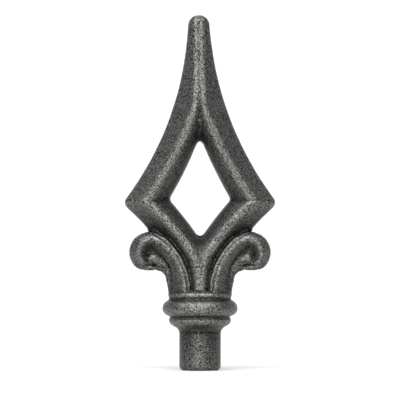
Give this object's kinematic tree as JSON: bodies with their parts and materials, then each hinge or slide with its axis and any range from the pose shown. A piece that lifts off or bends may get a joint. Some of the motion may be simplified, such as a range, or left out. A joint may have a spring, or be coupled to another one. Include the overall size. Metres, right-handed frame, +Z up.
{
  "type": "forged fence spike",
  "caption": "Forged steel fence finial: an open diamond spearhead with ridged limbs above a pair of scrolls, a moulded collar and a plain round tang to weld or set on a picket.",
  "frame": {"origin": "middle of the tang's flat end, which is the lowest point", "axes": "+Z up along the spike to its tip, X across its width, Y through its thickness"},
  "size_m": [0.0658, 0.0326, 0.1536],
  "materials": {
    "forged_steel": "satin"
  },
  "bodies": {
    "root": {"fence_spike": "forged_steel"}
  },
  "joints": []
}
